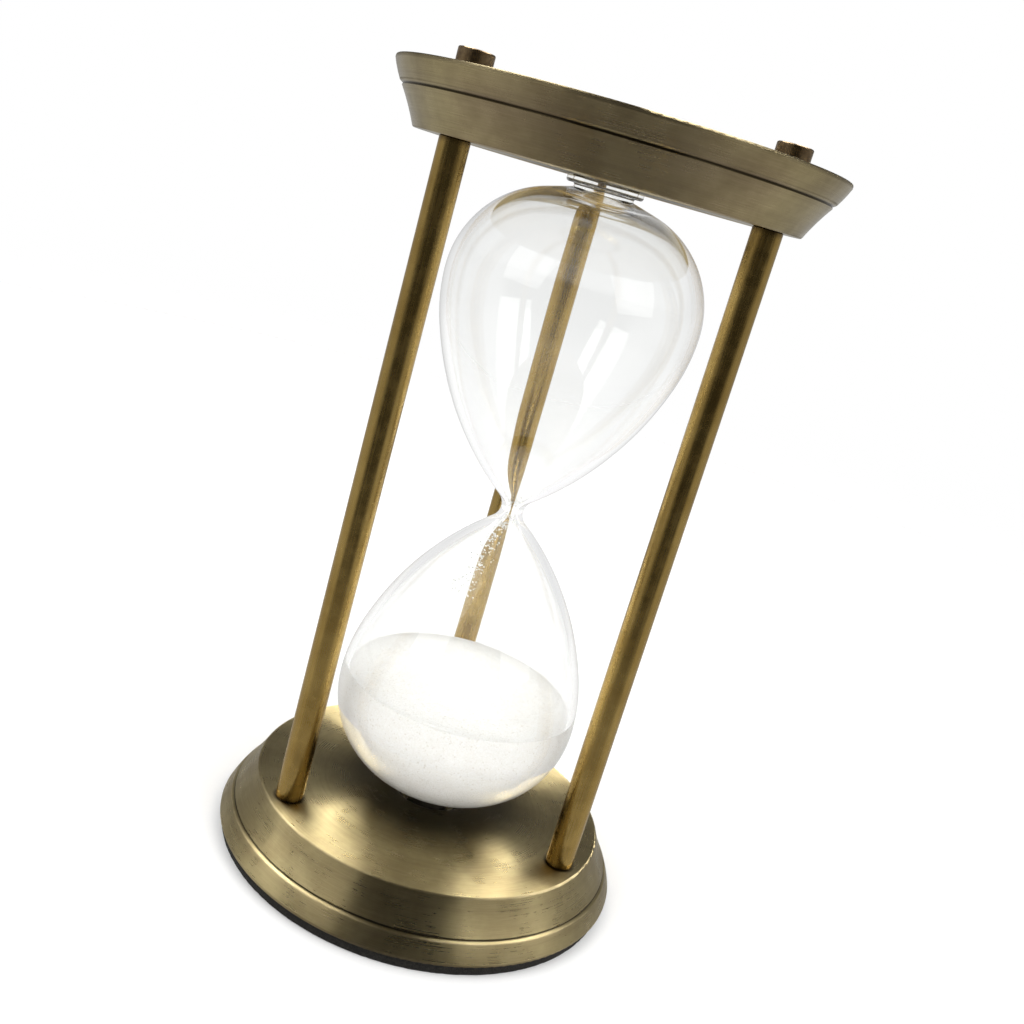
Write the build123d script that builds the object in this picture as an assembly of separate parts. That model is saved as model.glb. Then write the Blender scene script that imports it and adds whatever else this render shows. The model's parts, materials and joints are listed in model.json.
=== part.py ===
from build123d import *
from math import cos, radians, sin
import os

# Three-post sand glass, in millimetres. +Z is up and the origin is the centre of the base pad's
# underside. Two equal hollow brass ends, mirror images of each other, hold one blown glass vessel
# between three round posts. Each end is two turned parts: an outer disc and an inner shell that
# meet in a fine V seam.

# Driving dimensions
FRAME_HEIGHT = 200.0       # outer face to outer face of the two brass ends
PAD_THICKNESS = 3.0
PAD_RADIUS = 55.0
PAD_ROUNDING = 0.6
WAIST_HEIGHT = PAD_THICKNESS + FRAME_HEIGHT / 2

# Brass ends, measured from the outer face (height 0) to the inner face
END_THICKNESS = 14.7
RIM_RADIUS = 55.95         # widest point, on the disc
RIM_HEIGHT = 0.9
RIM_ROUNDING = 0.45
BULGE_RADIUS = 55.0        # halfway point of the disc's slightly bulging side
BULGE_HEIGHT = 3.1
LIP_EDGE_RADIUS = 53.8     # lip of the disc, just below the seam
LIP_EDGE_HEIGHT = 5.3
LIP_EDGE_ROUNDING = 0.5
SEAM_HEIGHT = 5.9
SEAM_BOTTOM_RADIUS = 52.9
GROOVE_RADIUS = 53.1       # where the shell's side starts, just above the seam
GROOVE_HEIGHT = 6.25
FLAT_RADIUS = 48.45        # edge of the inner face, on the shell
FLAT_ROUNDING = 0.6
COVE_DEPTH = 0.25          # how far the shell's side hollows in from a straight cone
DISC_FLOOR = 3.0
SHELL_FLOOR = 3.0
SHELL_WALL = 3.6           # measured level, at the inner face
REGISTER_RADIUS = 50.0     # the shell's short register inside the disc's rim
REGISTER_HEIGHT = 5.0
REGISTER_WALL = 2.6
REGISTER_FIT = 0.1
SEAT_RADIUS = 10.3         # hole that takes the glass's end
SEAT_DEPTH = 5.0
SEAT_ROUNDING = 0.5
CUP_WALL = 2.5             # wall and floor of the cup round the seat

# Seat rings
RING_THICKNESS = 1.0
RING_RADIUS = 9.65
RING_BORE_RADIUS = 5.9

# Posts and their M4 hardware
POST_CIRCLE_RADIUS = 42.5
POST_RADIUS = 3.65
POST_CHAMFER = 0.25
POST_ANGLES = {"front_left": -150, "front_right": -30, "rear": 90}
THREAD_RADIUS = 2.0
THREAD_DEPTH = 12.0
THREAD_CHAMFER = 0.3
CLEARANCE_RADIUS = 2.25
COLUMN_RADIUS = 6.0        # pillar inside an end, round a post's hole
BOSS_RADIUS = 6.5          # boss of the disc that the pillar stands on
COUNTERBORE_RADIUS = 4.2
COUNTERBORE_DEPTH = 3.2
SPRING_WASHER = 0.8
SPRING_WASHER_SLIT = 0.6
HEAD_RADIUS = 3.5
HEAD_HEIGHT = 2.2
HEAD_ROUNDING = 0.6
SOCKET_RADIUS = 1.45
SOCKET_DEPTH = 1.3
SCREW_REACH = 10.0         # into the post
NUT_RADIUS = 4.25
NUT_HEIGHT = 3.7
NUT_TOP_ROUNDING = 0.4
NUT_FOOT_ROUNDING = 0.2
NUT_BORE_DEPTH = 2.9
NUT_BORE_RADIUS = 2.05     # runs on the stud
NUT_ENGAGEMENT = 2.6
WASHER_RADIUS = 3.7
WASHER_BORE_RADIUS = 2.1
WASHER_THICKNESS = 0.5

# Glass vessel: one bulb, as seen from the waist
BULB_RADIUS = 32.8
BULB_HEIGHT = 56.0         # waist to widest point
WAIST_RADIUS = 3.0
GLASS_WALL = 1.9
SHOULDER_RADIUS = 25.8
SHOULDER_ANGLE = 75.0
BELLY_RADIUS = 46.0
BELLY_ANGLE = 17.0
FLANK_ANGLE = 50.5         # the wall's steepest lean, where flank and waist arcs meet
THROAT_RADIUS = 7.6
THROAT_ROUNDING = 0.2
LIP_RADIUS = 9.75
LIP_HEIGHT = 83.4          # waist to the underside of the lip
LIP_ROUNDING = 0.7
LIP_END_ROUNDING = 0.6
CLOSED_END = 2.5           # thickness of the glass across the closed end
CLOSED_END_ROUNDING = 1.8
MOUTH_ROUNDING = 0.3
STOPPER_LENGTH = 5.3
STOPPER_FIT = 0.05
STOPPER_TAPER = 0.25

# Sand: all of it has run down, and lies as a very low heap
SAND_EDGE_HEIGHT = 51.5
SAND_CROWN_HEIGHT = 53.5
SAND_GAP = 0.1

UPRIGHT = (Align.CENTER, Align.CENTER, Align.MIN)
PLACES = {
    name: Pos(POST_CIRCLE_RADIUS * cos(radians(angle)), POST_CIRCLE_RADIUS * sin(radians(angle)), 0)
    for name, angle in POST_ANGLES.items()
}


def turned(outline):
    """Solid turned about Z from a flat outline drawn as (radius, height)."""
    return revolve(Plane.XZ * outline, Axis.Z)


def rounded(outline, corners):
    """Flat outline with the corners at the given points rounded: {(radius, height): rounding}."""
    for point, rounding in corners.items():
        corner = outline.vertices().sort_by_distance((*point, 0))[0]
        outline = fillet(corner, rounding)
    return outline


def rod(radius, bottom, top):
    """Upright round bar about Z."""
    return Pos(0, 0, bottom) * Cylinder(radius, top - bottom, align=UPRIGHT)


def tube(outer, inner, bottom, top):
    """Upright ring about Z."""
    return rod(outer, bottom, top) - rod(inner, bottom, top)


def end_disc(counterbored):
    """Outer turned disc of an end: a shallow dish whose side bulges below the seam lip."""
    rim, foot = (RIM_RADIUS, RIM_HEIGHT), (RIM_RADIUS, 0)
    lip = (LIP_EDGE_RADIUS, LIP_EDGE_HEIGHT)
    edges = Polyline(
        rim, foot, (0, 0), (0, DISC_FLOOR), (REGISTER_RADIUS, DISC_FLOOR),
        (REGISTER_RADIUS, SEAM_HEIGHT), (SEAM_BOTTOM_RADIUS, SEAM_HEIGHT), lip).edges()
    edges += ThreePointArc(lip, (BULGE_RADIUS, BULGE_HEIGHT), rim).edges()
    disc = turned(rounded(make_face(edges), {foot: RIM_ROUNDING, lip: LIP_EDGE_ROUNDING}))
    for place in PLACES.values():
        disc += place * rod(BOSS_RADIUS, DISC_FLOOR, REGISTER_HEIGHT)
        disc -= place * rod(CLEARANCE_RADIUS, 0, REGISTER_HEIGHT)
        if counterbored:
            disc -= place * rod(COUNTERBORE_RADIUS, 0, COUNTERBORE_DEPTH)
    return disc


def end_shell():
    """Inner turned shell of an end: coved side, flat inner face, glass seat and three pillars."""
    top = END_THICKNESS
    ceiling = top - SHELL_FLOOR
    seat_floor = top - SEAT_DEPTH
    cup_radius, cup_bottom = SEAT_RADIUS + CUP_WALL, seat_floor - CUP_WALL
    register = REGISTER_RADIUS - REGISTER_FIT
    groove, edge = (GROOVE_RADIUS, GROOVE_HEIGHT), (FLAT_RADIUS, top)
    cove = ((GROOVE_RADIUS + FLAT_RADIUS) / 2 - COVE_DEPTH, (GROOVE_HEIGHT + top) / 2)
    edges = Polyline(
        edge, (SEAT_RADIUS, top), (SEAT_RADIUS, seat_floor), (0, seat_floor), (0, cup_bottom),
        (cup_radius, cup_bottom), (cup_radius, ceiling), (FLAT_RADIUS - SHELL_WALL, ceiling),
        (register - REGISTER_WALL, REGISTER_HEIGHT), (register, REGISTER_HEIGHT),
        (register, SEAM_HEIGHT), (SEAM_BOTTOM_RADIUS, SEAM_HEIGHT), groove).edges()
    edges += ThreePointArc(groove, cove, edge).edges()
    corners = {edge: FLAT_ROUNDING, (SEAT_RADIUS, top): SEAT_ROUNDING}
    shell = turned(rounded(make_face(edges), corners))
    for place in PLACES.values():
        shell += place * rod(COLUMN_RADIUS, REGISTER_HEIGHT, ceiling)
        shell -= place * rod(CLEARANCE_RADIUS, REGISTER_HEIGHT, top)
    return shell


def seat_ring():
    """Soft ring under the glass in an end's seat."""
    floor = END_THICKNESS - SEAT_DEPTH
    return tube(RING_RADIUS, RING_BORE_RADIUS, floor, floor + RING_THICKNESS)


def at_base(part):
    """Moves an end part, drawn from its outer face upwards, to the base."""
    return Pos(0, 0, PAD_THICKNESS) * part


def at_top(part):
    """Turns an end part, drawn from its outer face upwards, over onto the top."""
    return Pos(0, 0, PAD_THICKNESS + FRAME_HEIGHT) * mirror(part, about=Plane.XY)


def post():
    """Round post with chamfered ends, tapped at both ends, about Z."""
    bottom = PAD_THICKNESS + END_THICKNESS
    top = PAD_THICKNESS + FRAME_HEIGHT - END_THICKNESS
    bar = rod(POST_RADIUS, bottom, top)
    bar = chamfer(bar.edges().filter_by(GeomType.CIRCLE), POST_CHAMFER)
    bar -= rod(THREAD_RADIUS, bottom, bottom + THREAD_DEPTH)
    return bar - rod(THREAD_RADIUS, top - THREAD_DEPTH, top)


def stud():
    """Threaded stud from a post's upper end, through the top, into the cap nut."""
    top_face = PAD_THICKNESS + FRAME_HEIGHT
    bottom = top_face - END_THICKNESS - THREAD_DEPTH
    bar = rod(THREAD_RADIUS, bottom, top_face + WASHER_THICKNESS + NUT_ENGAGEMENT)
    return chamfer(bar.edges().filter_by(GeomType.CIRCLE), THREAD_CHAMFER)


def nut_washer():
    """Thin washer held under the cap nut. It lifts with the nut."""
    top_face = PAD_THICKNESS + FRAME_HEIGHT
    return tube(WASHER_RADIUS, WASHER_BORE_RADIUS, top_face, top_face + WASHER_THICKNESS)


def cap_nut():
    """Round closed nut with a softened upper edge."""
    bottom = PAD_THICKNESS + FRAME_HEIGHT + WASHER_THICKNESS
    foot, crown = (NUT_RADIUS, 0), (NUT_RADIUS, NUT_HEIGHT)
    outline = make_face(Polyline(
        (0, NUT_BORE_DEPTH), (NUT_BORE_RADIUS, NUT_BORE_DEPTH), (NUT_BORE_RADIUS, 0),
        foot, crown, (0, NUT_HEIGHT), close=True).edges())
    outline = rounded(outline, {crown: NUT_TOP_ROUNDING, foot: NUT_FOOT_ROUNDING})
    return Pos(0, 0, bottom) * turned(outline)


def base_screw():
    """Pan-head socket screw that pulls the base up against a post's lower end."""
    seat = PAD_THICKNESS + COUNTERBORE_DEPTH - SPRING_WASHER
    underside = seat - HEAD_HEIGHT
    head = rod(HEAD_RADIUS, underside, seat)
    head = fillet(head.edges().sort_by(Axis.Z)[0], HEAD_ROUNDING)
    socket = Pos(0, 0, underside) * extrude(RegularPolygon(SOCKET_RADIUS, 6), SOCKET_DEPTH)
    shank = rod(THREAD_RADIUS, seat, PAD_THICKNESS + END_THICKNESS + SCREW_REACH)
    return head - socket + shank


def spring_washer():
    """Split ring between a base screw's head and the disc."""
    top = PAD_THICKNESS + COUNTERBORE_DEPTH
    ring = tube(HEAD_RADIUS, WASHER_BORE_RADIUS, top - SPRING_WASHER, top)
    slit = Box(HEAD_RADIUS, SPRING_WASHER_SLIT, 2 * SPRING_WASHER)
    return ring - Pos(HEAD_RADIUS, 0, top - SPRING_WASHER / 2) * slit


def waist_arcs():
    """Flank and waist radii that close the bulb's chain of tangent arcs on the waist."""
    belly, lean = radians(BELLY_ANGLE), radians(FLANK_ANGLE)
    inward = BULB_RADIUS - WAIST_RADIUS - BELLY_RADIUS * (1 - cos(belly))
    down = BULB_HEIGHT - BELLY_RADIUS * sin(belly)
    flank_in, waist_in = cos(belly) - cos(lean), 1 - cos(lean)
    flank_down, waist_down = sin(lean) - sin(belly), sin(lean)
    scale = flank_in * waist_down - waist_in * flank_down
    flank = (inward * waist_down - waist_in * down) / scale
    waist = (flank_in * down - inward * flank_down) / scale
    return flank, waist


def bulb_wall(inset):
    """One bulb's wall from waist to throat, as tangent arcs moved inwards by inset, and its end."""
    flank_radius, waist_radius = waist_arcs()
    belly, lean = radians(BELLY_ANGLE), radians(SHOULDER_ANGLE)
    belly_centre = (BULB_RADIUS - BELLY_RADIUS, BULB_HEIGHT)
    step = BELLY_RADIUS - flank_radius
    flank_centre = (belly_centre[0] + step * cos(belly), belly_centre[1] - step * sin(belly))
    waist_centre = (WAIST_RADIUS + waist_radius, 0)
    shoulder_centre = (BULB_RADIUS - SHOULDER_RADIUS, BULB_HEIGHT)
    arcs = [
        CenterArc(waist_centre, waist_radius + inset, 180 - FLANK_ANGLE, FLANK_ANGLE),
        CenterArc(flank_centre, flank_radius - inset, -FLANK_ANGLE, FLANK_ANGLE - BELLY_ANGLE),
        CenterArc(belly_centre, BELLY_RADIUS - inset, -BELLY_ANGLE, BELLY_ANGLE),
        CenterArc(shoulder_centre, SHOULDER_RADIUS - inset, 0, SHOULDER_ANGLE),
    ]
    start = arcs[-1] @ 1
    run = (start.X - (THROAT_RADIUS - inset)) / sin(lean)
    throat = (THROAT_RADIUS - inset, start.Y + run * cos(lean))
    crown = Line((start.X, start.Y), throat)
    return [piece.edge() for piece in arcs + [crown]], throat


def both_bulbs(edges):
    """Edges above the waist, and the same below it."""
    return edges + [edge.mirror(Plane.XZ) for edge in edges]


def glass_vessel():
    """Two blown bulbs in one piece, closed at the top end and open at the filling end."""
    end = FRAME_HEIGHT / 2 - END_THICKNESS + SEAT_DEPTH - RING_THICKNESS
    outer, outer_throat = bulb_wall(0)
    inner, inner_throat = bulb_wall(GLASS_WALL)
    bore, ceiling = inner_throat[0], end - CLOSED_END
    lip = Polyline(outer_throat, (THROAT_RADIUS, LIP_HEIGHT), (LIP_RADIUS, LIP_HEIGHT),
                   (LIP_RADIUS, end))
    closing = Polyline((LIP_RADIUS, end), (0, end), (0, ceiling), (bore, ceiling), inner_throat)
    mouth = Polyline((LIP_RADIUS, -end), (bore, -end), (bore, -inner_throat[1]))
    edges = both_bulbs(outer + inner + list(lip.edges()))
    edges += list(closing.edges()) + list(mouth.edges())
    corners = {(bore, ceiling): CLOSED_END_ROUNDING, (bore, -end): MOUTH_ROUNDING}
    for side in (1, -1):
        corners[(LIP_RADIUS, side * LIP_HEIGHT)] = LIP_ROUNDING
        corners[(LIP_RADIUS, side * end)] = LIP_END_ROUNDING
        corners[(outer_throat[0], side * outer_throat[1])] = THROAT_ROUNDING
    return Pos(0, 0, WAIST_HEIGHT) * turned(rounded(make_face(edges), corners))


def stopper():
    """Plug in the filling end of the glass, flush with it and slightly tapered inwards."""
    bottom = PAD_THICKNESS + END_THICKNESS - SEAT_DEPTH + RING_THICKNESS
    radius = THROAT_RADIUS - GLASS_WALL - STOPPER_FIT
    return Pos(0, 0, bottom) * Cone(radius, radius - STOPPER_TAPER, STOPPER_LENGTH, align=UPRIGHT)


def sand():
    """Sand in the lower bulb: it fills the bulb up to a very low heap."""
    wall, throat = bulb_wall(GLASS_WALL + SAND_GAP)
    stopper_bottom = PAD_THICKNESS + END_THICKNESS - SEAT_DEPTH + RING_THICKNESS
    bottom = stopper_bottom + STOPPER_LENGTH - WAIST_HEIGHT
    column = Polyline((throat[0], -throat[1]), (throat[0], bottom), (0, bottom), (0, throat[1]),
                      throat)
    body = turned(make_face(both_bulbs(wall) + list(column.edges())))
    edge, crown = (BULB_RADIUS, SAND_EDGE_HEIGHT), (0, SAND_CROWN_HEIGHT)
    heap = ThreePointArc((-BULB_RADIUS, SAND_EDGE_HEIGHT), crown, edge).trim(0.5, 1)
    ceiling = 2 * WAIST_HEIGHT
    above = Polyline(edge, (BULB_RADIUS, ceiling), (0, ceiling), crown).edges() + heap.edges()
    return Pos(0, 0, WAIST_HEIGHT) * body - turned(make_face(above))


def base_pad():
    """Soft pad that covers the base screws."""
    pad = rod(PAD_RADIUS, 0, PAD_THICKNESS)
    return fillet(pad.edges().sort_by(Axis.Z)[0], PAD_ROUNDING)


def parts():
    """Every part of the sand glass by name."""
    made = {
        "base_disc": at_base(end_disc(counterbored=True)),
        "base_shell": at_base(end_shell()),
        "top_shell": at_top(end_shell()),
        "top_disc": at_top(end_disc(counterbored=False)),
        "lower_seat_ring": at_base(seat_ring()),
        "upper_seat_ring": at_top(seat_ring()),
        "glass_vessel": glass_vessel(),
        "filling_stopper": stopper(),
        "sand": sand(),
        "base_pad": base_pad(),
    }
    for name, place in PLACES.items():
        made[name + "_post"] = place * post()
        made[name + "_stud"] = place * stud()
        made[name + "_nut_washer"] = place * nut_washer()
        made[name + "_cap_nut"] = place * cap_nut()
        made[name + "_base_screw"] = place * base_screw()
        made[name + "_spring_washer"] = place * spring_washer()
    return made


os.makedirs("parts", exist_ok=True)
for node, solid in parts().items():
    export_step(solid, f"parts/{node}.step")
print("Flank and waist arc radii:", [round(radius, 2) for radius in waist_arcs()])
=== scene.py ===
import json
import math
import random

import bmesh
import bpy
from mathutils import Matrix, Vector, noise


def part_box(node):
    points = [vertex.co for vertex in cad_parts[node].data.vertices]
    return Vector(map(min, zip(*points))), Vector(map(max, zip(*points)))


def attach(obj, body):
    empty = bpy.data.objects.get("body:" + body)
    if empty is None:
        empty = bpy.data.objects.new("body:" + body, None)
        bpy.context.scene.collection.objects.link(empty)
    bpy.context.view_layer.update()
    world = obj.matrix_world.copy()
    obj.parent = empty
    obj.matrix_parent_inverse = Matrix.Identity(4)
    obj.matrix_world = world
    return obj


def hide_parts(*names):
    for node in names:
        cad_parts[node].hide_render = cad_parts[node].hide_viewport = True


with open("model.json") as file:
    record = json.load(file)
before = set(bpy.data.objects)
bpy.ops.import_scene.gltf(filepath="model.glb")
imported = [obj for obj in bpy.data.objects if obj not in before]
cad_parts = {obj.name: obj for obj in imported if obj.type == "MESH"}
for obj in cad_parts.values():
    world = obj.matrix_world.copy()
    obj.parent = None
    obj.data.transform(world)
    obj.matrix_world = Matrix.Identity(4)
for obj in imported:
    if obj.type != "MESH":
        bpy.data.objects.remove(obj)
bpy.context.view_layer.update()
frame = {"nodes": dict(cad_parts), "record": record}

MM = 0.001
MICRON = 0.000001

# Sizes of the object, in metres, as in its CAD model
WAIST = (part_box("glass_vessel")[0].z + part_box("glass_vessel")[1].z) / 2
GLASS_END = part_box("glass_vessel")[1].z - WAIST
GLASS_WALL = 1.9 * MM
BULB_RADIUS = 32.8 * MM
BULB_HEIGHT = 56.0 * MM
WAIST_RADIUS = 3.0 * MM
WAIST_ARC = 4.23 * MM
SHOULDER_ARC = 25.8 * MM
SHOULDER_ANGLE = 75.0
BELLY_ARC = 46.0 * MM
BELLY_ANGLE = 17.0
FLANK_ARC = 81.97 * MM
FLANK_ANGLE = 50.5
THROAT_RADIUS = 7.6 * MM
LIP_RADIUS = 9.75 * MM
LIP_HEIGHT = 83.4 * MM
CLOSED_END = 2.5 * MM
SAND_CONTACT = 0.05 * MM
SAND_EDGE = 51.5 * MM
SAND_CROWN = 53.5 * MM
PAD_ROUNDING = 0.6 * MM
THREAD_PITCH = 0.7 * MM
THREAD_DEPTH = 0.35 * MM
POSTS = ("front_left", "front_right", "rear")

# Unevenness of the glass and the sand's top, in metres
GLASS_WAVE = 0.12 * MM
WAVE_FADE = 12 * MM
WAVE_END = 80 * MM
SAND_SLUMP = 0.55 * MM
SAND_RIPPLE = 0.22 * MM
SAND_ROUGHNESS = 0.13 * MM
SAND_MARGIN = 1.0 * MM
FELT_FUR = 0.22 * MM
THREAD_CHAMFER = 0.3 * MM

# Loose grains inside the glass
GRAIN_SEED = 31
FLANK_GRAINS = 260
NECK_GRAINS = 50
GRAIN_SIZE = (0.12 * MM, 0.27 * MM)
GRAIN_SIDE = -115.0

# Fineness of the meshes
GLASS_SEGMENTS = 192
SAND_SEGMENTS = 240
SAND_RINGS = 110
PAD_SEGMENTS = 360
STUD_SEGMENTS = 48
STEPS_PER_THREAD = 9
SHARP_EDGE = math.radians(35)

# Where the brass and cork are marked, and where shade and highlights are painted on them: radius
# from the axis, level above or below the waist
WORN_HIGHLIT_EDGES = ((55.9 * MM, 99.6 * MM, 0.6 * MM),
              (53.8 * MM, 94.7 * MM, 0.4 * MM),
              (48.3 * MM, 85.4 * MM, 0.5 * MM))
BULB_SHADE_RADIUS = (17.0 * MM, 35.0 * MM)
INNER_FACE = (86.0 * MM, 88.0 * MM)
OUTER_FACE = (99.60 * MM, 99.85 * MM)
SEAM_LEVEL = 94.05 * MM
SEAM_SPREAD = (0.12 * MM, 0.42 * MM)
POST_RING_RADIUS = (3.7 * MM, 4.7 * MM)
POST_END_LEVEL = (83.4 * MM, 85.2 * MM)
CORK_SHADE_RADIUS = (4.8 * MM, 5.4 * MM)
BRUSHED_ARC = 0.0016

# Colours: linear red, green and blue, then alpha
BRASS_BROWN = (0.370, 0.295, 0.145, 1)
BRASS_GOLD = (0.480, 0.395, 0.200, 1)
BRASS_ARC = (0.62, 0.50, 0.29, 1)
BRASS_RING = (0.29, 0.22, 0.12, 1)
BRASS_SPECK = (0.20, 0.15, 0.08, 1)
# Rubbed brass at the edges, made brighter still as a painted highlight
BRASS_RUBBED_HIGHLIGHT = (0.70, 0.585, 0.35, 1)
# Painted shade: the dark reflection of the bulb's shaded underside
BRASS_BULB_SHADE = (0.040, 0.031, 0.016, 1)
BRASS_POST_RING = (0.070, 0.052, 0.028, 1)
BRASS_OUTER = (0.15, 0.115, 0.060, 1)
SEAM_POLISH = (0.060, 0.046, 0.028, 1)
POST_BROWN = (0.44, 0.290, 0.085, 1)
POST_GOLD = (0.54, 0.370, 0.118, 1)
POST_BAND = (0.33, 0.215, 0.060, 1)
POST_STREAK = (0.66, 0.510, 0.210, 1)
POST_RUB = (0.24, 0.155, 0.045, 1)
POST_END_DARK = (0.10, 0.065, 0.028, 1)
STUD_LIGHT = (0.66, 0.54, 0.29, 1)
STUD_DARK = (0.50, 0.39, 0.19, 1)
NUT_LIGHT = (0.33, 0.235, 0.130, 1)
NUT_DARK = (0.19, 0.130, 0.070, 1)
ZINC_LIGHT = (0.62, 0.63, 0.62, 1)
ZINC_DARK = (0.48, 0.50, 0.52, 1)
CORK_LIGHT = (0.52, 0.34, 0.18, 1)
CORK_DARK = (0.24, 0.13, 0.06, 1)
CORK_PORE = (0.10, 0.05, 0.02, 1)
# Painted shade on the cork in the dark gaps round the glass
CORK_GAP_SHADE = (0.012, 0.010, 0.007, 1)
GLASS_TINT = (0.985, 0.99, 0.985, 1)
SAND_CREAM = (0.90, 0.885, 0.845, 1)
SAND_WHITE = (0.955, 0.95, 0.935, 1)
SAND_BROWN = (0.50, 0.42, 0.30, 1)
SAND_DRIFT = (0.84, 0.81, 0.74, 1)
FELT_BLACK = (0.005, 0.0047, 0.004, 1)
FELT_GREY = (0.020, 0.018, 0.014, 1)
FELT_LINT = (0.16, 0.15, 0.13, 1)
PAPER_GREY = (0.90, 0.90, 0.895, 1)
PAPER_WHITE = (0.93, 0.93, 0.925, 1)
NO_TINT = (1.0, 1.0, 1.0, 1)
GROUND_TINT = (1.0, 0.94, 1.16, 1)

# Camera, at the photograph's viewing angle
CAMERA_DISTANCE = 0.29554
CAMERA_HEIGHT = 0.18486
CAMERA_PLACE = 0.071
CAMERA_TURN = 0.0717
CAMERA_PITCH = 0.273
CAMERA_ROLL = math.radians(16.2)
CAMERA_LENS = 41.1
CAMERA_SENSOR = 36.0
CAMERA_NEAR = 0.01

# Studio: lamps and floor in metres and watts, strengths as shares of white
LAMP_SIZE = (0.6, 0.8)
LAMP_POWER = 3.0
LAMP_PLACE = (0.60, -0.45, 0.62)
LAMP_AIM = (0, 0, 0.08)
FLOOR_RADIUS = 1.0
FLOOR_FADE = (0.4, 0.9)
BOX_STRENGTH = 14.0
REAR_STRENGTH = -0.27
STRIP_STRENGTH = 0.5
GAP_STRENGTH = 0.05
BACKDROP_LOW = 1.04
BACKDROP_HIGH = 0.89
FILL_BEHIND = 1.85
FILL_FRONT = 2.4
IN_WALL_WHITE = 0.93
ROOM_GAIN = 1.65
ROOM_LIFT = 0.08
SKY_SLOPE = 0.12
ANY_DEPTH = (0.4, 0.6)
GLASS_LETS_OUT = (1.4, 1.6)
IN_WALL_DEPTH = (3.4, 3.6)


# Mesh building ---------------------------------------------------------------------------------

def arc(centre, radius, start, end, steps):
    """Points along an arc in the (radius, height) plane, angles in degrees."""
    points = []
    for step in range(steps + 1):
        angle = math.radians(start + (end - start) * step / steps)
        points.append((centre[0] + radius * math.cos(angle), centre[1] + radius * math.sin(angle)))
    return points


def fillet(before, corner, after, radius, steps=5, hold=0.15 * MM):
    """Rounded corner between two straight runs, with a support point on each run."""
    corner = Vector(corner)
    back = (Vector(before) - corner).normalized()
    on = (Vector(after) - corner).normalized()
    half = back.angle(on) / 2
    reach = radius / math.tan(half)
    centre = corner + (back + on).normalized() * radius / math.sin(half)
    start = corner + back * reach - centre
    end = corner + on * reach - centre
    points = [corner + back * (reach + hold)]
    for step in range(steps + 1):
        spoke = start.lerp(end, step / steps).normalized() * radius
        points.append(centre + spoke)
    points.append(corner + on * (reach + hold))
    return [tuple(point) for point in points]


def piece_from(mesh, name, material, body, replaced=()):
    """Turns a bmesh into a piece that rides on a body and stands for CAD nodes."""
    bmesh.ops.recalc_face_normals(mesh, faces=mesh.faces)
    for face in mesh.faces:
        face.smooth = True
    for edge in mesh.edges:
        edge.smooth = edge.calc_face_angle(0.0) < SHARP_EDGE
    data = bpy.data.meshes.new(name)
    mesh.to_mesh(data)
    mesh.free()
    data.materials.append(material)
    piece = bpy.data.objects.new(name, data)
    bpy.context.scene.collection.objects.link(piece)
    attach(piece, body)
    if replaced:
        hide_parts(*replaced)
    return piece


def join_rings(mesh, lower, upper):
    """Faces between two rings of vertices. A ring of one vertex is a point on the axis."""
    count = max(len(lower), len(upper))
    if count == 1:
        return
    for index in range(count):
        after = (index + 1) % count
        if len(lower) == 1:
            mesh.faces.new((lower[0], upper[index], upper[after]))
        elif len(upper) == 1:
            mesh.faces.new((lower[index], lower[after], upper[0]))
        else:
            mesh.faces.new((lower[index], lower[after], upper[after], upper[index]))


def lathe(outline, segments, centre=(0.0, 0.0), move=None):
    """Closed solid turned about an upright axis from a closed outline of (radius, height).

    move(radius, angle, height) may give each vertex a slightly different radius and height."""
    mesh = bmesh.new()
    rings = []
    for radius, height in outline:
        if radius < 1e-7:
            rings.append([mesh.verts.new((centre[0], centre[1], height))])
            continue
        ring = []
        for index in range(segments):
            angle = 2 * math.pi * index / segments
            here, level = move(radius, angle, height) if move else (radius, height)
            ring.append(mesh.verts.new((centre[0] + here * math.cos(angle),
                                        centre[1] + here * math.sin(angle), level)))
        rings.append(ring)
    for index, ring in enumerate(rings):
        join_rings(mesh, ring, rings[(index + 1) % len(rings)])
    return mesh


# Node building ---------------------------------------------------------------------------------

def put(tree, socket, value):
    """Links a socket into an input, or sets the input to a plain value."""
    if isinstance(value, bpy.types.NodeSocket):
        tree.links.new(value, socket)
    else:
        socket.default_value = value


def node(tree, kind, inputs=None, **settings):
    """New node with its settings and its inputs, given by name or number."""
    made = tree.nodes.new(kind)
    for name, value in settings.items():
        setattr(made, name, value)
    for name, value in (inputs or {}).items():
        put(tree, made.inputs[name], value)
    return made


def calc(tree, operation, *values):
    """Result of a Math node."""
    made = node(tree, "ShaderNodeMath", operation=operation)
    for socket, value in zip(made.inputs, values):
        put(tree, socket, value)
    return made.outputs[0]


def product(tree, result, *others):
    """Values multiplied together."""
    for other in others:
        result = calc(tree, "MULTIPLY", result, other)
    return result


def step_between(tree, value, low, high, at_low=0.0, at_high=1.0):
    """Smooth step of a value from one level to another."""
    made = node(tree, "ShaderNodeMapRange", interpolation_type="SMOOTHSTEP")
    for name, given in (("Value", value), ("From Min", low), ("From Max", high),
                        ("To Min", at_low), ("To Max", at_high)):
        put(tree, made.inputs[name], given)
    return made.outputs["Result"]


def band(tree, value, rise_start, rise_end, fall_start, fall_end):
    """1 where a value is inside a range, with a soft edge each side."""
    return product(tree, step_between(tree, value, rise_start, rise_end),
                   step_between(tree, value, fall_start, fall_end, 1.0, 0.0))


def blend_values(tree, factor, first, second):
    """Mix of two plain values."""
    return node(tree, "ShaderNodeMix", {0: factor, 2: first, 3: second}).outputs[0]


def blend_colors(tree, factor, first, second):
    """Mix of two colours."""
    made = node(tree, "ShaderNodeMix", data_type="RGBA")
    put(tree, made.inputs[0], factor)
    put(tree, made.inputs[6], first)
    put(tree, made.inputs[7], second)
    return made.outputs[2]


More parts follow.
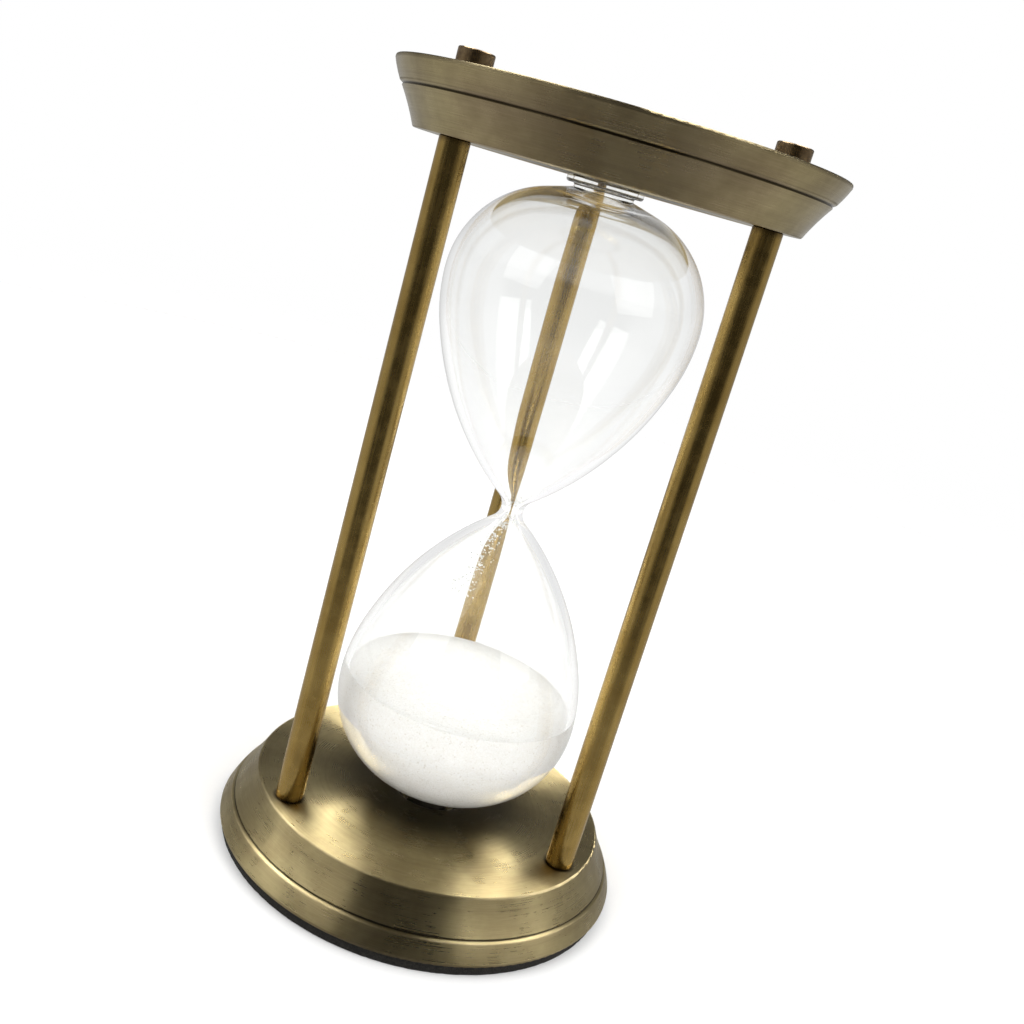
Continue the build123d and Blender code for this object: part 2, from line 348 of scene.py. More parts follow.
def stain(tree, color, value, low, high, strength, other):
    """Colour with another laid over it as a value rises from low to high."""
    return blend_colors(tree, step_between(tree, value, low, high, 0.0, strength), color, other)


def vector_of(tree, x, y, z):
    """Vector from three values."""
    return node(tree, "ShaderNodeCombineXYZ", {0: x, 1: y, 2: z}).outputs[0]


def axes_of(tree, vector):
    """The X, Y and Z of a vector."""
    return node(tree, "ShaderNodeSeparateXYZ", {0: vector}).outputs


def length_of(tree, vector):
    """Length of a vector."""
    return node(tree, "ShaderNodeVectorMath", {0: vector}, operation="LENGTH").outputs["Value"]


def distance_from(tree, axes, x=0.0, y=0.0):
    """Distance from an upright line through (x, y)."""
    return length_of(tree, vector_of(tree, calc(tree, "SUBTRACT", axes[0], x),
                                     calc(tree, "SUBTRACT", axes[1], y), 0.0))


def level_from_waist(tree, axes):
    """Height above or below the waist, the same at both ends."""
    return calc(tree, "ABSOLUTE", calc(tree, "SUBTRACT", axes[2], WAIST))


def stretched(tree, place, scale, turn=0.0):
    """Coordinates scaled along each axis and turned about Z, for streaks."""
    return node(tree, "ShaderNodeMapping", {"Vector": place, "Scale": scale,
                                            "Rotation": (0.0, 0.0, turn)}).outputs[0]


def noise_of(tree, vector, scale, detail=3.0, rough=0.55):
    """Grey noise, in features per metre."""
    made = node(tree, "ShaderNodeTexNoise",
                {"Vector": vector, "Scale": scale, "Detail": detail, "Roughness": rough})
    return made.outputs["Fac"]


def new_material(name, **constants):
    """Material with one Principled shader, and its tree, shader and object coordinates."""
    material = bpy.data.materials.new(name)
    material.use_nodes = True
    tree = material.node_tree
    shader = tree.nodes["Principled BSDF"]
    for socket, value in constants.items():
        shader.inputs[socket.replace("_", " ")].default_value = value
    place = node(tree, "ShaderNodeTexCoord").outputs["Object"]
    return material, tree, shader, place


def bump_into(tree, shader, *layers):
    """Stacks bumps on a shader's normal. Each layer is (height, distance in metres)."""
    normal = None
    for height, distance in layers:
        made = node(tree, "ShaderNodeBump", {"Height": height, "Distance": distance})
        if normal:
            tree.links.new(normal, made.inputs["Normal"])
        normal = made.outputs["Normal"]
    tree.links.new(normal, shader.inputs["Normal"])


def brush_about_axis(tree, shader):
    """Gives a shader's brushing the direction of the Z axis to run by."""
    tangent = node(tree, "ShaderNodeTangent", direction_type="RADIAL", axis="Z")
    tree.links.new(tangent.outputs[0], shader.inputs["Tangent"])


# Materials -------------------------------------------------------------------------------------

def skin_of_ends(tree, place, axes, radius, level, broad_rings, patina):
    """Colour of the aged brass: patches of patina, turning marks and a few specks."""
    angle = product(tree, calc(tree, "ARCTAN2", axes[1], axes[0]), BRUSHED_ARC)
    arcs = noise_of(tree, vector_of(tree, radius, level, angle), 5200.0, 2.0)
    specks = noise_of(tree, place, 900.0, 2.0)
    color = blend_colors(tree, step_between(tree, patina, 0.36, 0.66), BRASS_BROWN, BRASS_GOLD)
    color = stain(tree, color, arcs, 0.40, 0.68, 0.20, BRASS_ARC)
    color = stain(tree, color, broad_rings, 0.45, 0.70, 0.22, BRASS_RING)
    return stain(tree, color, specks, 0.66, 0.76, 0.12, BRASS_SPECK)


def rubbed_and_highlit_edges(tree, color, radius, level, patina):
    """Colour with the handled edges rubbed bright and a painted highlight laid along them, and how
    near each place is to an edge.
    """
    edges = 0.0
    for edge_radius, edge_level, reach in WORN_HIGHLIT_EDGES:
        across = calc(tree, "SUBTRACT", radius, edge_radius)
        along = calc(tree, "SUBTRACT", level, edge_level)
        away = length_of(tree, vector_of(tree, across, along, 0.0))
        near = step_between(tree, away, reach * 0.2, reach, 1.0, 0.0)
        edges = calc(tree, "MAXIMUM", edges, near)
        # Rubbed edges, with a painted highlight laid along them
        rubbed = product(tree, near, step_between(tree, patina, 0.30, 0.60, 0.20, 0.45))
        color = blend_colors(tree, rubbed, color, BRASS_RUBBED_HIGHLIGHT)
    return color, edges


def dark_marks(tree, color, axes, radius, level, centres):
    """Colour with the painted shade round the bulb, a darker ring round each post and the old
    polish of both ends.
    """
    # Painted shade round the bulb on the inner faces: the dark reflection of the bulb's shaded
    # underside
    bulb_shade = product(tree, step_between(tree, radius, *BULB_SHADE_RADIUS, 0.88, 0.0),
                      step_between(tree, level, *INNER_FACE, 1.0, 0.0))
    color = blend_colors(tree, bulb_shade, color, BRASS_BULB_SHADE)
    # A darker ring round the foot of each post
    for x, y in centres:
        away = distance_from(tree, axes, x, y)
        post_ring = step_between(tree, away, *POST_RING_RADIUS, 0.7, 0.0)
        color = blend_colors(tree, post_ring, color, BRASS_POST_RING)
    # The outer faces are handled most and have the heaviest patina
    color = stain(tree, color, level, *OUTER_FACE, 0.55, BRASS_OUTER)
    # Old polish sits dark in the seam
    seam = calc(tree, "ABSOLUTE", calc(tree, "SUBTRACT", level, SEAM_LEVEL))
    seam = step_between(tree, seam, *SEAM_SPREAD, 0.85, 0.0)
    return blend_colors(tree, seam, color, SEAM_POLISH)


def brass_for_ends(centres):
    """Satin turned brass with an aged skin, painted shade round the bulb and painted highlights
    along its edges, for the discs and shells of both ends.
    """
    material, tree, shader, place = new_material(
        "end_brass", Metallic=1.0, Anisotropic=1.0, Anisotropic_Rotation=0.25)
    brush_about_axis(tree, shader)
    axes = axes_of(tree, place)
    radius = distance_from(tree, axes)
    level = level_from_waist(tree, axes)
    rings = vector_of(tree, radius, level, 0.0)
    fine_rings = noise_of(tree, rings, 3600.0, 2.0)
    broad_rings = noise_of(tree, rings, 620.0, 2.0)
    patina = noise_of(tree, place, 70.0, 5.0, 0.6)
    color = skin_of_ends(tree, place, axes, radius, level, broad_rings, patina)
    color, edges = rubbed_and_highlit_edges(tree, color, radius, level, patina)
    color = dark_marks(tree, color, axes, radius, level, centres)
    tree.links.new(color, shader.inputs["Base Color"])
    rough = step_between(tree, noise_of(tree, place, 160.0, 4.0), 0.30, 0.72, 0.27, 0.36)
    rough = calc(tree, "ADD", rough, step_between(tree, fine_rings, 0.3, 0.7, -0.03, 0.03))
    rough = calc(tree, "ADD", rough, product(tree, edges, 0.22))
    tree.links.new(rough, shader.inputs["Roughness"])
    bump_into(tree, shader, (broad_rings, 8.0 * MICRON), (fine_rings, 3.5 * MICRON))
    return material


def brass_for_posts():
    """Drawn brass rod, with long streaks and a browner, patchy skin."""
    material, tree, shader, place = new_material("post_brass", Metallic=1.0, Anisotropic=0.35)
    brush_about_axis(tree, shader)
    streaks = noise_of(tree, stretched(tree, place, (1.0, 1.0, 0.012)), 2200.0, 3.0)
    bands = noise_of(tree, stretched(tree, place, (1.0, 1.0, 0.10)), 420.0, 3.0)
    patches = noise_of(tree, place, 95.0, 5.0, 0.6)
    rubs = noise_of(tree, stretched(tree, place, (0.25, 0.25, 1.0)), 1500.0, 3.0)
    level = level_from_waist(tree, axes_of(tree, place))
    color = blend_colors(tree, step_between(tree, patches, 0.34, 0.68), POST_BROWN, POST_GOLD)
    color = stain(tree, color, bands, 0.48, 0.72, 0.25, POST_BAND)
    color = stain(tree, color, streaks, 0.52, 0.72, 0.25, POST_STREAK)
    color = stain(tree, color, rubs, 0.62, 0.75, 0.15, POST_RUB)
    # The posts are darker towards each end, next to the plates
    color = stain(tree, color, level, *POST_END_LEVEL, 0.75, POST_END_DARK)
    tree.links.new(color, shader.inputs["Base Color"])
    rough = step_between(tree, noise_of(tree, place, 240.0, 4.0), 0.30, 0.70, 0.20, 0.32)
    rough = calc(tree, "ADD", rough, step_between(tree, streaks, 0.35, 0.65, -0.03, 0.04))
    tree.links.new(rough, shader.inputs["Roughness"])
    bump_into(tree, shader, (bands, 12.0 * MICRON), (streaks, 4.0 * MICRON),
              (rubs, 3.0 * MICRON))
    return material


def turned_brass(name, light, dark, low_rough, high_rough, centres):
    """Small turned brass part: fine rings about its own axis, dark specks, rubbed patches."""
    material, tree, shader, place = new_material(
        name, Metallic=1.0, Anisotropic=0.5, Anisotropic_Rotation=0.25)
    brush_about_axis(tree, shader)
    axes = axes_of(tree, place)
    radius = 1.0
    for x, y in centres:
        radius = calc(tree, "MINIMUM", distance_from(tree, axes, x, y), radius)
    rings = noise_of(tree, vector_of(tree, radius, axes[2], 0.0), 5200.0, 2.0)
    patches = noise_of(tree, place, 420.0, 4.0)
    specks = noise_of(tree, place, 2600.0, 2.0)
    half_dark = (dark[0] * 0.5, dark[1] * 0.5, dark[2] * 0.5, 1)
    color = blend_colors(tree, step_between(tree, patches, 0.35, 0.68), dark, light)
    color = stain(tree, color, specks, 0.62, 0.74, 0.5, half_dark)
    tree.links.new(color, shader.inputs["Base Color"])
    rough = step_between(tree, patches, 0.30, 0.70, high_rough, low_rough)
    tree.links.new(rough, shader.inputs["Roughness"])
    bump_into(tree, shader, (rings, 12.0 * MICRON), (specks, 6.0 * MICRON))
    return material


def zinc_steel():
    """Bright zinc plate with faint spangle, for the hidden base screws."""
    material, tree, shader, place = new_material("zinc_steel", Metallic=1.0)
    spangle = node(tree, "ShaderNodeTexVoronoi", {"Vector": place, "Scale": 1400.0})
    patches = noise_of(tree, place, 700.0, 4.0)
    color = blend_colors(tree, spangle.outputs["Distance"], ZINC_LIGHT, ZINC_DARK)
    tree.links.new(color, shader.inputs["Base Color"])
    tree.links.new(step_between(tree, patches, 0.3, 0.7, 0.24, 0.42), shader.inputs["Roughness"])
    bump_into(tree, shader, (patches, 10.0 * MICRON))
    return material


def cork():
    """Pressed cork granules, for the stopper and the rings under the glass."""
    material, tree, shader, place = new_material("cork", Roughness=0.85)
    grains = node(tree, "ShaderNodeTexVoronoi", {"Vector": place, "Scale": 1100.0})
    grains = grains.outputs["Distance"]
    pores = noise_of(tree, place, 3200.0, 3.0)
    radius = distance_from(tree, axes_of(tree, place))
    color = blend_colors(tree, product(tree, grains, 1.2), CORK_LIGHT, CORK_DARK)
    color = stain(tree, color, pores, 0.60, 0.70, 0.8, CORK_PORE)
    # Painted shade: the cork is black away from its middle, where it sits in the dark gaps round
    # the glass
    color = stain(tree, color, radius, *CORK_SHADE_RADIUS, 0.95, CORK_GAP_SHADE)
    tree.links.new(color, shader.inputs["Base Color"])
    bump_into(tree, shader, (grains, 100.0 * MICRON), (pores, 40.0 * MICRON))
    return material


def clear_glass():
    """Clear blown glass with the faintest skin of handling marks."""
    material, tree, shader, place = new_material(
        "clear_glass", Transmission_Weight=1.0, IOR=1.47, Base_Color=GLASS_TINT)
    smears = noise_of(tree, place, 60.0, 4.0)
    tree.links.new(step_between(tree, smears, 0.55, 0.80, 0.0, 0.02), shader.inputs["Roughness"])
    ripple = noise_of(tree, stretched(tree, place, (1.0, 1.0, 0.35)), 55.0, 1.0)
    bump_into(tree, shader, (ripple, 120.0 * MICRON))
    # Not as real glass does: a ray passes straight out from its second reflection on, which
    # keeps the edges of the wall clear
    caught = node(tree, "ShaderNodeLightPath").outputs["Glossy Depth"]
    tree.links.new(step_between(tree, caught, *GLASS_LETS_OUT, 1.0, 0.0), shader.inputs["Alpha"])
    return material


def white_sand():
    """Fine white quartz sand: tinted grains, a few dark ones, a few that glint."""
    material, tree, shader, place = new_material("white_sand", Specular_IOR_Level=0.35)
    grains = node(tree, "ShaderNodeTexVoronoi", {"Vector": place, "Scale": 3600.0})
    tint = node(tree, "ShaderNodeSeparateColor", {0: grains.outputs["Color"]}).outputs
    drift = noise_of(tree, place, 140.0, 3.0)
    color = blend_colors(tree, tint[0], SAND_CREAM, SAND_WHITE)
    color = stain(tree, color, tint[1], 0.955, 0.985, 0.35, SAND_BROWN)
    color = stain(tree, color, drift, 0.35, 0.70, 0.16, SAND_DRIFT)
    tree.links.new(color, shader.inputs["Base Color"])
    tree.links.new(step_between(tree, tint[2], 0.90, 0.97, 0.85, 0.25),
                   shader.inputs["Roughness"])
    bump_into(tree, shader, (drift, 400.0 * MICRON), (grains.outputs["Distance"], 120.0 * MICRON))
    return material


def pad_felt():
    """Matt black wool felt with loose fibres."""
    material, tree, shader, place = new_material(
        "pad_felt", Roughness=0.95, Specular_IOR_Level=0.2, Sheen_Weight=0.05,
        Sheen_Roughness=0.6)
    along = noise_of(tree, stretched(tree, place, (1.0, 0.22, 0.5), 0.6), 3600.0, 3.0)
    across = noise_of(tree, stretched(tree, place, (0.22, 1.0, 0.5), 1.1), 3600.0, 3.0)
    weave = calc(tree, "MAXIMUM", along, across)
    lint = noise_of(tree, place, 5200.0, 1.0)
    color = blend_colors(tree, step_between(tree, weave, 0.42, 0.72), FELT_BLACK, FELT_GREY)
    color = stain(tree, color, lint, 0.74, 0.80, 0.6, FELT_LINT)
    tree.links.new(color, shader.inputs["Base Color"])
    bump_into(tree, shader, (weave, 200.0 * MICRON), (lint, 50.0 * MICRON))
    return material


# Pieces ----------------------------------------------------------------------------------------

def bulb_wall(inset):
    """One bulb's wall above the waist, as points from the waist to the throat."""
    belly = math.radians(BELLY_ANGLE)
    shift = BELLY_ARC - FLANK_ARC
    belly_centre = (BULB_RADIUS - BELLY_ARC, BULB_HEIGHT)
    flank_centre = (belly_centre[0] + shift * math.cos(belly),
                    belly_centre[1] - shift * math.sin(belly))
    shoulder_centre = (BULB_RADIUS - SHOULDER_ARC, BULB_HEIGHT)
    points = arc((WAIST_RADIUS + WAIST_ARC, 0), WAIST_ARC + inset, 180, 180 - FLANK_ANGLE, 9)
    points += arc(flank_centre, FLANK_ARC - inset, -FLANK_ANGLE, -BELLY_ANGLE, 26)[1:]
    points += arc(belly_centre, BELLY_ARC - inset, -BELLY_ANGLE, 0, 9)[1:]
    points += arc(shoulder_centre, SHOULDER_ARC - inset, 0, SHOULDER_ANGLE, 30)[1:]
    lean = math.radians(SHOULDER_ANGLE)
    throat = THROAT_RADIUS - inset
    run = (points[-1][0] - throat) / math.sin(lean)
    end = (throat, points[-1][1] + run * math.cos(lean))
    return points, end


def below(points):
    """The same points mirrored to below the waist, in reverse order."""
    return [(radius, -height) for radius, height in reversed(points)]


def glass_outline():
    """Closed outline of the glass, heights from the waist: closed above, open below."""
    outer, outer_end = bulb_wall(0.0)
    inner, inner_end = bulb_wall(GLASS_WALL)
    neck, lip = (THROAT_RADIUS, LIP_HEIGHT), (LIP_RADIUS, LIP_HEIGHT)
    rim, bore = (LIP_RADIUS, GLASS_END), inner_end[0]
    ceiling = GLASS_END - CLOSED_END
    upper = outer + fillet(outer[-1], outer_end, neck, 0.2 * MM, 3, 0.05 * MM)
    upper += fillet(outer_end, neck, lip, 0.35 * MM, 3, 0.05 * MM)
    upper += fillet(neck, lip, rim, 0.7 * MM)
    upper += fillet(lip, rim, (0, GLASS_END), 0.6 * MM)
    inside = inner + fillet(inner[-1], inner_end, (bore, ceiling), 0.8 * MM, 4, 0.1 * MM)
    closing = fillet(inner_end, (bore, ceiling), (0, ceiling), 1.8 * MM)
    mouth = fillet((LIP_RADIUS, -GLASS_END), (bore, -GLASS_END), (bore, 0), 0.3 * MM)
    points = [(0, GLASS_END)] + upper[::-1] + [(r, -h) for r, h in upper[1:]]
    points += mouth + below(inside) + inside[1:] + closing + [(0, ceiling)]
    return [(radius, height + WAIST) for radius, height in points]


def blown(radius, angle, height):
    """Slight unevenness of hand-blown glass, fading out at the lips and the waist."""
    away = abs(height - WAIST)
    fade = min(1.0, away / WAVE_FADE) * min(1.0, max(0.0, (WAVE_END - away) / WAVE_FADE))
    here = Vector((math.cos(angle) * radius, math.sin(angle) * radius, height))
    wave = noise.noise(here * 45.0) * GLASS_WAVE
    return radius + wave * fade, height


def make_glass(material):
    """Blown two-bulb vessel, in place of the plain one."""
    mesh = lathe(glass_outline(), GLASS_SEGMENTS, move=blown)
    return piece_from(mesh, "glass_vessel_blown", material, "frame",
                      ["glass_vessel"])


def sand_surface(radius, angle, height):
    """Ripples and small slumps of the sand's top, held level with the wall of the bulb."""
    if height < SAND_EDGE - 0.5 * MM or radius > BULB_RADIUS - GLASS_WALL - SAND_MARGIN:
        return blown(radius, angle, height)
    here = Vector((math.cos(angle) * radius, math.sin(angle) * radius, 0))
    slump = noise.noise(here * 75.0) * SAND_SLUMP
    ripple = noise.noise(here * 320.0 + Vector((9.1, 2.3, 0))) * SAND_RIPPLE
    grain = noise.noise(here * 1700.0) * SAND_ROUGHNESS
    return radius, height + slump + ripple + grain


def make_sand(material):
    """Heap of sand that fills the lower bulb up to its belly."""
    inset = GLASS_WALL - SAND_CONTACT
    wall, throat = bulb_wall(inset)
    depth = WAIST - SAND_EDGE
    belly_centre = BULB_RADIUS - BELLY_ARC
    lean = math.degrees(math.asin((depth - BULB_HEIGHT) / (BELLY_ARC - inset)))
    side = arc((belly_centre, BULB_HEIGHT), BELLY_ARC - inset, lean, 0, 3)
    side += [point for point in wall if point[1] > BULB_HEIGHT] + [throat]
    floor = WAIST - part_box("filling_stopper")[1].z
    side = [(radius, WAIST - height) for radius, height in side]
    side += [(throat[0], WAIST - floor), (0, WAIST - floor)]
    reach = side[0][0]
    rise = SAND_CROWN - SAND_EDGE
    top = [(reach * step / SAND_RINGS, SAND_EDGE + rise * (1 - (step / SAND_RINGS) ** 2))
           for step in range(SAND_RINGS)]
    mesh = lathe(top + side, SAND_SEGMENTS, move=sand_surface)
    return piece_from(mesh, "sand_heap", material, "frame", ["sand"])


def add_grain(mesh, rng, radius, angle, level):
    """One grain resting against the glass's inner wall, whose radius is given."""
    size = rng.uniform(*GRAIN_SIZE)
    reach = radius - size * 0.9
    made = bmesh.ops.create_icosphere(mesh, subdivisions=1, radius=size)
    turn = Matrix.Rotation(rng.uniform(0, math.pi), 4, (rng.random(), rng.random(), 1))
    stretch = Matrix.Diagonal((rng.uniform(0.7, 1.2), rng.uniform(0.7, 1.2), 1, 1))
    place = Matrix.Translation((reach * math.cos(angle), reach * math.sin(angle), level))
    bmesh.ops.transform(mesh, matrix=place @ turn @ stretch, verts=made["verts"])


def make_grains(material):
    """Loose grains that cling inside the glass: down one side below the waist, and in it."""
    rng = random.Random(GRAIN_SEED)
    inner, _ = bulb_wall(GLASS_WALL)
    flank = [point for point in inner if 4 * MM < point[1] < 23 * MM]
    neck = [point for point in inner if 1 * MM < point[1] < 4 * MM]
    mesh = bmesh.new()
    for _ in range(FLANK_GRAINS):
        along = rng.random() ** 1.1
        radius, height = flank[int(along * (len(flank) - 1))]
        angle = math.radians(GRAIN_SIDE + rng.gauss(0, 5 + 8 * (1 - along) ** 2))
        add_grain(mesh, rng, radius, angle, WAIST - height + rng.uniform(-0.7, 0.7) * MM)
    for _ in range(NECK_GRAINS):
        radius, height = rng.choice(neck)
        angle = rng.uniform(0, 2 * math.pi)
        add_grain(mesh, rng, radius, angle, WAIST + rng.choice((-1, 1)) * height)
    return piece_from(mesh, "clinging_grains", material, "frame")


def make_pad(material):
    """Felt disc under the base, with a soft lower edge and a slightly furred side."""
    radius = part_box("base_pad")[1].x
    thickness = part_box("base_pad")[1].z
    outline = [(0, thickness), (radius * 0.5, thickness), (radius - 0.9 * MM, thickness)]
    outline += fillet((0, thickness), (radius, thickness), (radius, 0), 0.25 * MM, 3)
    outline += [(radius, thickness * 0.7), (radius, thickness * 0.5)]
    outline += fillet((radius, thickness), (radius, 0), (0, 0), PAD_ROUNDING, 5)
    outline += [(radius - 2 * MM, 0), (radius * 0.5, 0), (0, 0)]

    def furred(here, angle, height):
        if here < radius - 0.4 * MM:
            return here, height
        spot = Vector((math.cos(angle) * 55, math.sin(angle) * 55, height * 1600))
        return here - abs(noise.noise(spot)) * FELT_FUR, height

    mesh = lathe(outline, PAD_SEGMENTS, move=furred)
    pad = piece_from(mesh, "base_pad_felt", material, "frame", ["base_pad"])
    return pad


def make_stud(name, material):
    """Stud with a real right-hand M4 thread."""
    low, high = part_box(name + "_stud")
    centre = ((low.x + high.x) / 2, (low.y + high.y) / 2)
    crest = (high.x - low.x) / 2
    root = crest - THREAD_DEPTH
    levels = STEPS_PER_THREAD * round((high.z - low.z) / THREAD_PITCH)
    outline = [(0, low.z), (root, low.z)]
    outline += [(crest, low.z + (high.z - low.z) * step / levels) for step in range(1, levels)]
    outline += [(root, high.z), (0, high.z)]

    def threaded(radius, angle, height):
        if radius < crest:
            return radius, height
        phase = ((height - low.z) / THREAD_PITCH - angle / (2 * math.pi)) % 1.0
        depth = min(1.0, max(0.0, abs(phase - 0.5) * 2 * 1.45 - 0.2))
        end = min(height - low.z, high.z - height) / THREAD_CHAMFER
        return max(root, min(crest - THREAD_DEPTH * depth, root + THREAD_DEPTH * end)), height

    mesh = lathe(outline, STUD_SEGMENTS, centre, move=threaded)
    return piece_from(mesh, name + "_threaded_stud", material, "frame",
                      [name + "_stud"])


def post_centre(name):
    """Where a post's axis stands, as (x, y)."""
    low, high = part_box(name + "_post")
    return (low.x + high.x) / 2, (low.y + high.y) / 2


# Stage -----------------------------------------------------------------------------------------

def make_camera():
    """Camera at the photograph's viewing angle, leaning by its roll."""
    sight = Vector((math.sin(CAMERA_TURN) * math.cos(CAMERA_PITCH),
                    math.cos(CAMERA_TURN) * math.cos(CAMERA_PITCH), -math.sin(CAMERA_PITCH)))
    level = Vector((math.cos(CAMERA_TURN), -math.sin(CAMERA_TURN), 0))
    upright = level.cross(sight)
    right = level * math.cos(CAMERA_ROLL) + upright * math.sin(CAMERA_ROLL)
    up = upright * math.cos(CAMERA_ROLL) - level * math.sin(CAMERA_ROLL)
    data = bpy.data.cameras.new("Camera")
    data.lens = CAMERA_LENS
    data.sensor_width = CAMERA_SENSOR
    data.clip_start = CAMERA_NEAR
    camera = bpy.data.objects.new("Camera", data)
    bpy.context.scene.collection.objects.link(camera)
    turn = Matrix((right, up, -sight)).transposed().to_4x4()
    place = Vector((-CAMERA_DISTANCE * math.sin(CAMERA_PLACE),
                    -CAMERA_DISTANCE * math.cos(CAMERA_PLACE), CAMERA_HEIGHT))
    camera.matrix_world = Matrix.Translation(place) @ turn
    bpy.context.scene.camera = camera


def make_floor():
    """Round sheet of pale paper that fades out towards its rim."""
    mesh = bmesh.new()
    bmesh.ops.create_circle(mesh, cap_ends=True, segments=96, radius=FLOOR_RADIUS)
    data = bpy.data.meshes.new("floor")
    mesh.to_mesh(data)
    mesh.free()
    material, tree, shader, place = new_material("floor_paper", Roughness=0.9,
                                                 Specular_IOR_Level=0.1)
    fibres = noise_of(tree, place, 900.0, 3.0)
    tree.links.new(blend_colors(tree, fibres, PAPER_GREY, PAPER_WHITE),
                   shader.inputs["Base Color"])
    gone = step_between(tree, length_of(tree, place), *FLOOR_FADE)
    clear = node(tree, "ShaderNodeBsdfTransparent").outputs[0]
    mixed = node(tree, "ShaderNodeMixShader", {0: gone, 1: shader.outputs[0], 2: clear})
    tree.links.new(mixed.outputs[0], tree.nodes["Material Output"].inputs["Surface"])
    data.materials.append(material)
    floor = bpy.data.objects.new("floor", data)
    floor.visible_glossy = False
    bpy.context.scene.collection.objects.link(floor)


def make_lamps():
    """Two large softboxes, one each side of the camera."""
    across, back, high = LAMP_PLACE
    for side in (-1, 1):
        data = bpy.data.lights.new("softbox", "AREA")
        data.shape = "RECTANGLE"
        data.size, data.size_y = LAMP_SIZE
        data.energy = LAMP_POWER
        lamp = bpy.data.objects.new("softbox", data)
        lamp.location = (across * side, back, high)
        aim = Vector(LAMP_AIM) - lamp.location
        lamp.rotation_euler = aim.to_track_quat("-Z", "Y").to_euler()
        lamp.visible_glossy = False
        lamp.visible_camera = False
        bpy.context.scene.collection.objects.link(lamp)


def tent_walls(tree, around, rise):
    """Pale tent walls, dimmer high up, over a ground that is darkest at the front."""
    walls = step_between(tree, rise, -26.0, -8.0, 0.54, 0.45)
    walls = calc(tree, "ADD", walls, step_between(tree, rise, 48.0, 62.0, 0.0, -0.20))
    ground = step_between(tree, around, 20.0, 140.0, 0.10, 0.46)
    return blend_values(tree, step_between(tree, rise, -46.0, -36.0, 1.0, 0.0), walls, ground)


def with_boxes(tree, light, axes, around, rise):
    """Adds a high box behind each side and a strip at the front, and dims the rear wall."""
    aside = step_between(tree, calc(tree, "ABSOLUTE", axes[0]), 0.07, 0.17)
    box = product(tree, band(tree, around, 102.0, 122.0, 158.0, 176.0),
                  band(tree, rise, 42.0, 51.0, 80.0, 87.0), aside)
    rear = product(tree, step_between(tree, around, 75.0, 125.0),
                   band(tree, rise, 0.0, 10.0, 28.0, 40.0))
    strip = product(tree, step_between(tree, around, 42.0, 72.0, 1.0, 0.0),
                    band(tree, rise, 4.0, 14.0, 34.0, 50.0))
    for share, strength in ((box, BOX_STRENGTH), (rear, REAR_STRENGTH), (strip, STRIP_STRENGTH)):
        light = calc(tree, "ADD", light, product(tree, share, strength))
    return light


def with_dark_gap(tree, light, around, rise):
    """Cuts a dark gap into the front, narrow and sharp high up, which makes the slit."""
    half_width = calc(tree, "ADD", step_between(tree, rise, -7.0, -2.0, 47.0, 66.0),
                      step_between(tree, rise, 9.0, 15.0, 0.0, -33.0))
    softness = step_between(tree, rise, -2.0, 14.0, 14.0, 1.8)
    into = calc(tree, "DIVIDE", calc(tree, "SUBTRACT", around, half_width), softness)
    in_gap = product(tree, step_between(tree, into, -1.0, 1.0, 1.0, 0.0),
                     step_between(tree, rise, -30.0, -18.0))
    dark = product(tree, in_gap, calc(tree, "SUBTRACT", light, GAP_STRENGTH))
    return calc(tree, "SUBTRACT", light, dark)


def studio_reflections(tree, axes):
    """What polished metal sees of the studio, by degrees round from the front and upwards."""
    to_degrees = 180 / math.pi
    front = product(tree, axes[1], -1.0)
    around = calc(tree, "ABSOLUTE", calc(tree, "ARCTAN2", axes[0], front))
    around = product(tree, around, to_degrees)
    rise = product(tree, calc(tree, "ARCSINE", axes[2]), to_degrees)
    light = with_boxes(tree, tent_walls(tree, around, rise), axes, around, rise)
    return with_dark_gap(tree, light, around, rise)


def light_through_glass(tree, rays, axes, mirror):
    """Backdrop seen through the glass, the mirrored room after a reflection, fill on the sand."""
    backdrop = step_between(tree, axes[2], -0.28, 0.08, BACKDROP_LOW, BACKDROP_HIGH)
    toward = product(tree, axes[1], -1.0)
    fill = step_between(tree, toward, 0.0, 0.8, FILL_BEHIND, FILL_FRONT)
    mirrored = step_between(tree, rays["Glossy Depth"], *ANY_DEPTH)
    scattered = step_between(tree, rays["Diffuse Depth"], *ANY_DEPTH)
    beyond = blend_values(tree, mirrored, backdrop, mirror)
    return blend_values(tree, scattered, beyond, fill)


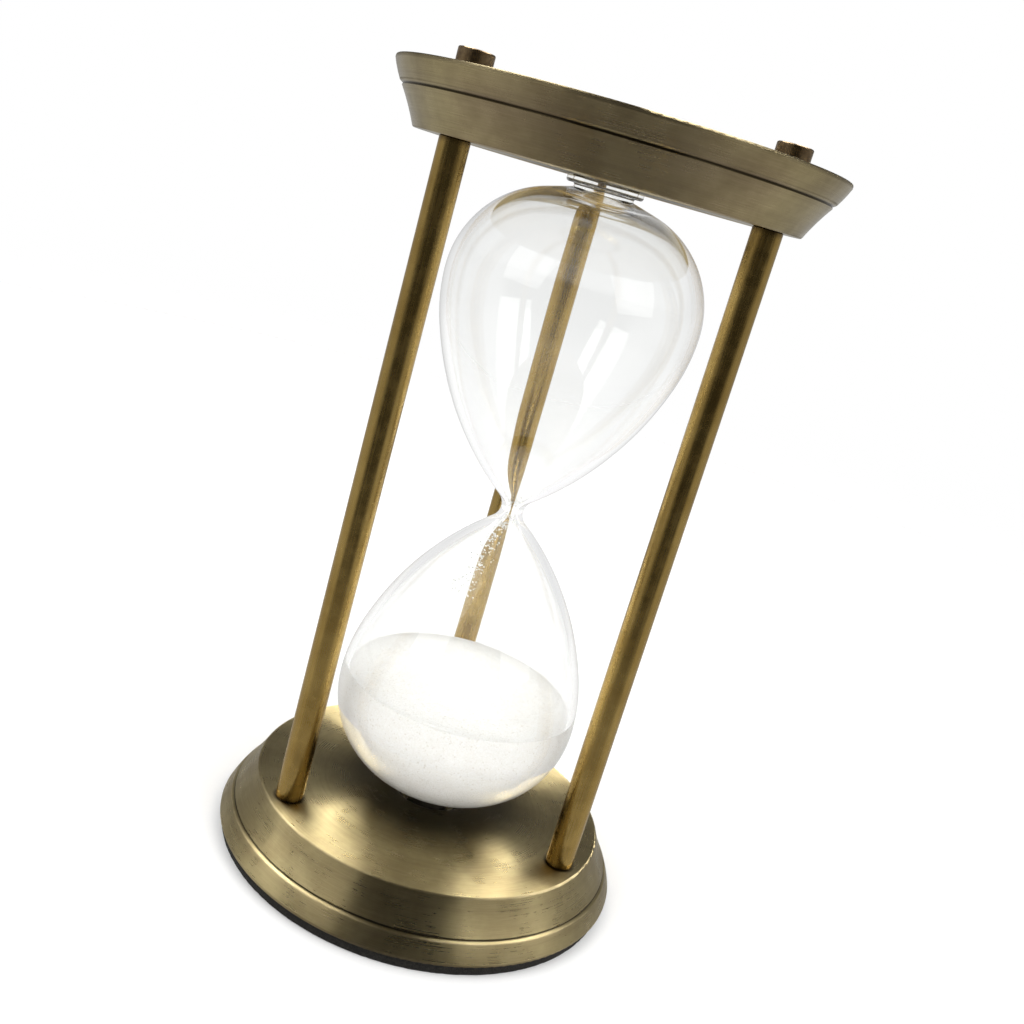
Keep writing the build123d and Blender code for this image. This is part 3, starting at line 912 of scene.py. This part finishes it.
def make_world():
    """Studio whose light depends on how a ray reached it, not on real lamps and walls alone."""
    world = bpy.data.worlds.new("studio")
    world.use_nodes = True
    bpy.context.scene.world = world
    world.cycles.sampling_method = "NONE"
    tree = world.node_tree
    background = tree.nodes["Background"]
    axes = axes_of(tree, node(tree, "ShaderNodeTexCoord").outputs["Generated"])
    rays = node(tree, "ShaderNodeLightPath").outputs
    # Seen through the glass, the room is brighter, and the glass walls mirror only white
    bare = studio_reflections(tree, axes)
    indoors = calc(tree, "ADD", product(tree, bare, ROOM_GAIN), ROOM_LIFT)
    in_wall = step_between(tree, rays["Transmission Depth"], *IN_WALL_DEPTH, IN_WALL_WHITE, indoors)
    through_glass = step_between(tree, rays["Transmission Depth"], *ANY_DEPTH)
    mirror = blend_values(tree, through_glass, bare, in_wall)
    through = light_through_glass(tree, rays, axes, mirror)
    light = calc(tree, "ADD", 1.0, product(tree, axes[2], SKY_SLOPE))
    # Rays through glass also count as glossy, so they are told apart after the glossy ones
    for ray, value in (("Is Glossy Ray", mirror), ("Is Transmission Ray", through),
                       ("Is Camera Ray", 1.0)):
        light = blend_values(tree, rays[ray], light, value)
    # Low down, what bare metal mirrors is a little purple
    low = step_between(tree, axes[2], -0.70, -0.50, 1.0, 0.0)
    low = product(tree, low, calc(tree, "SUBTRACT", 1.0, through_glass))
    tree.links.new(blend_colors(tree, low, NO_TINT, GROUND_TINT), background.inputs["Color"])
    tree.links.new(light, background.inputs["Strength"])


# Build -----------------------------------------------------------------------------------------

make_camera()
centres = [post_centre(name) for name in POSTS]
materials = {
    "end_brass": brass_for_ends(centres),
    "post_brass": brass_for_posts(),
    "stud_brass": turned_brass("stud_brass", STUD_LIGHT, STUD_DARK, 0.22, 0.36, centres),
    "nut_bronze": turned_brass("nut_bronze", NUT_LIGHT, NUT_DARK, 0.26, 0.42, centres),
    "zinc_steel": zinc_steel(),
    "cork": cork(),
    "clear_glass": clear_glass(),
    "white_sand": white_sand(),
    "pad_felt": pad_felt(),
}
for subpart in frame["record"]["subparts"]:
    for holder in frame["nodes"][subpart["node"]].material_slots:
        holder.material = materials[subpart["material_slot"]]

make_glass(materials["clear_glass"])
make_sand(materials["white_sand"])
make_grains(materials["white_sand"])
make_pad(materials["pad_felt"])
for name in POSTS:
    make_stud(name, materials["stud_brass"])

make_floor()
make_lamps()
make_world()
bpy.context.scene.view_settings.view_transform = "Standard"
